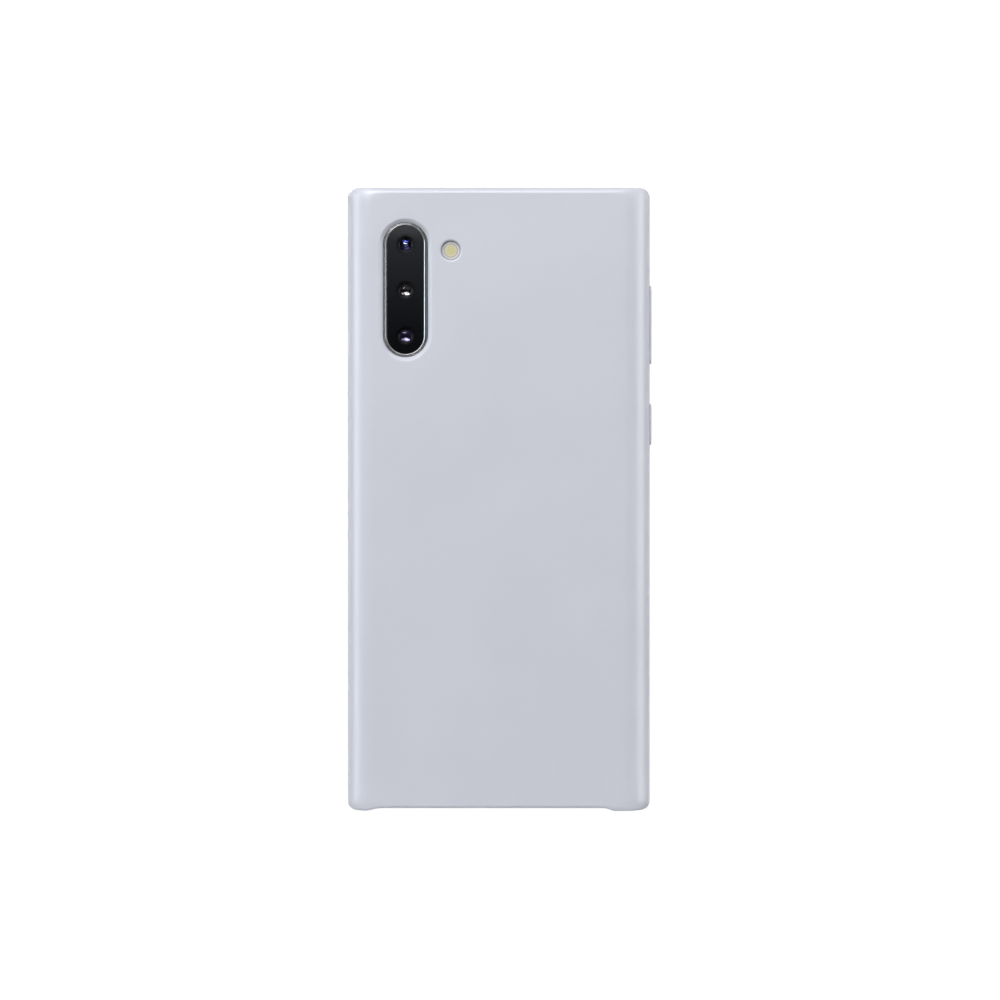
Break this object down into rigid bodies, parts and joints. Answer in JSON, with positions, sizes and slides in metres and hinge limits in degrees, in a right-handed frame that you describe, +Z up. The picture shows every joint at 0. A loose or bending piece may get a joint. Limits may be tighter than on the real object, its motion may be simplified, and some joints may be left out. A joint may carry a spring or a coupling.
{
  "type": "smartphone",
  "caption": "Slim slab phone with a pull-out stylus, standing in a soft moulded cover with openings for the rear lenses, flash, port and loudspeaker.",
  "frame": {"origin": "middle of the cover's depth and width, at the level of the cover's two bottom feet", "axes": "+Z up along the phone's height; +X to the right seen from the back, the side with the keys; +Y from the back towards the screen"},
  "size_m": [0.0755, 0.0098, 0.1549],
  "materials": {
    "silicone": "satin",
    "microfibre": "soft brushed",
    "frame_metal": "polished",
    "antenna_plastic": "satin",
    "back_glass": "polished, silver backing film",
    "front_glass": "polished",
    "gasket": "matt",
    "display": "dark, switched off",
    "sensor_chip": "gloss",
    "trim_metal": "anodised",
    "camera_glass": "polished",
    "flash_diffuser": "ribbed",
    "phosphor": "matt",
    "module_black": "matt",
    "barrel_black": "matt",
    "lens_glass": "coated",
    "board_resin": "satin",
    "stamped_steel": "satin",
    "chip_resin": "satin",
    "flex_film": "satin",
    "pouch_foil": "dark laminated foil",
    "copper": "bare",
    "ferrite": "matt",
    "bracket_plastic": "matt",
    "membrane": "satin",
    "mesh": "woven",
    "tungsten": "ground",
    "key_metal": "polished",
    "tongue_plastic": "satin",
    "pen_plastic": "satin",
    "nib_plastic": "matt"
  },
  "bodies": {
    "phone": {"mid_frame": "frame_metal", "antenna_breaks": "antenna_plastic", "back_glass": "back_glass", "front_glass": "front_glass", "back_adhesive": "gasket", "display_panel": "display", "display_adhesive": "gasket", "fingerprint_sensor": "sensor_chip", "camera_ring": "trim_metal", "camera_window": "camera_glass", "flash_window": "flash_diffuser", "flash_led": "phosphor", "ultrawide_camera": "module_black", "ultrawide_barrel": "barrel_black", "ultrawide_element": "lens_glass", "wide_camera": "module_black", "tele_camera": "module_black", "image_sensors": "sensor_chip", "front_camera": "module_black", "main_board": "board_resin", "shield_cans": "stamped_steel", "board_chips": "chip_resin", "sub_board": "board_resin", "board_flex": "flex_film", "battery": "pouch_foil", "charging_coil": "copper", "coil_ferrite": "ferrite", "heat_spreader": "copper", "upper_bracket": "bracket_plastic", "screws": "stamped_steel", "earpiece": "bracket_plastic", "speaker_box": "bracket_plastic", "port_meshes": "mesh", "microphones": "stamped_steel", "motor_housing": "stamped_steel", "key_switches": "flex_film", "usb_shell": "stamped_steel", "usb_tongue": "tongue_plastic", "sim_tray": "key_metal", "sim_socket": "stamped_steel", "pen_silo": "bracket_plastic"},
    "cover": {"silicone_cover": "silicone", "cover_lining": "microfibre"},
    "volume_pad": {"volume_pad": "silicone"},
    "power_pad": {"power_pad": "silicone"},
    "volume_key": {"volume_key": "key_metal"},
    "power_key": {"power_key": "key_metal"},
    "wide_lens": {"wide_barrel": "barrel_black", "wide_element": "lens_glass"},
    "tele_lens": {"tele_barrel": "barrel_black", "tele_element": "lens_glass"},
    "front_lens": {"front_barrel": "barrel_black", "front_element": "lens_glass"},
    "speaker_cone": {"speaker_cone": "membrane"},
    "motor_mass": {"motor_mass": "tungsten"},
    "pen": {"pen_body": "pen_plastic", "pen_nib": "nib_plastic", "pen_core": "ferrite"},
    "pen_button": {"pen_button": "pen_plastic"},
    "pen_clicker": {"pen_clicker": "pen_plastic"}
  },
  "joints": [
    {"name": "cover_off", "type": "slide", "parent": "phone", "child": "cover", "axis": [0, -1, 0], "range_m": [0, 0.025]},
    {"name": "volume_rock", "type": "hinge", "parent": "phone", "child": "volume_key", "pos_m": [0.0354, 0.0006, 0.1209], "axis": [0, 1, 0], "range_deg": [-1.6, 1.6]},
    {"name": "volume_pad_rock", "type": "hinge", "parent": "cover", "child": "volume_pad", "pos_m": [0.0354, 0.0006, 0.1209], "axis": [0, 1, 0], "range_deg": [-1.6, 1.6]},
    {"name": "power_press", "type": "slide", "parent": "phone", "child": "power_key", "axis": [-1, 0, 0], "range_m": [0, 0.0003]},
    {"name": "power_pad_press", "type": "slide", "parent": "cover", "child": "power_pad", "axis": [-1, 0, 0], "range_m": [0, 0.0003]},
    {"name": "pen_slide", "type": "slide", "parent": "phone", "child": "pen", "axis": [0, 0, -1], "range_m": [0, 0.107]},
    {"name": "pen_click", "type": "slide", "parent": "pen", "child": "pen_clicker", "axis": [0, 0, -1], "range_m": [0, 0.0028]},
    {"name": "pen_button_press", "type": "slide", "parent": "pen", "child": "pen_button", "axis": [0, -1, 0], "range_m": [0, 0.0003]},
    {"name": "wide_focus", "type": "slide", "parent": "phone", "child": "wide_lens", "axis": [0, -1, 0], "range_m": [0, 0.0003]},
    {"name": "tele_focus", "type": "slide", "parent": "phone", "child": "tele_lens", "axis": [0, -1, 0], "range_m": [0, 0.0003]},
    {"name": "front_focus", "type": "slide", "parent": "phone", "child": "front_lens", "axis": [0, 1, 0], "range_m": [0, 0.00012]},
    {"name": "speaker_excursion", "type": "slide", "parent": "phone", "child": "speaker_cone", "axis": [0, 1, 0], "range_m": [-0.00025, 0.00025]},
    {"name": "motor_shake", "type": "slide", "parent": "phone", "child": "motor_mass", "axis": [1, 0, 0], "range_m": [-0.0006, 0.0006]}
  ],
  "couplings": [
    {"joint": "volume_pad_rock", "follows": "volume_rock", "ratio": 1},
    {"joint": "power_pad_press", "follows": "power_press", "ratio": 1}
  ]
}
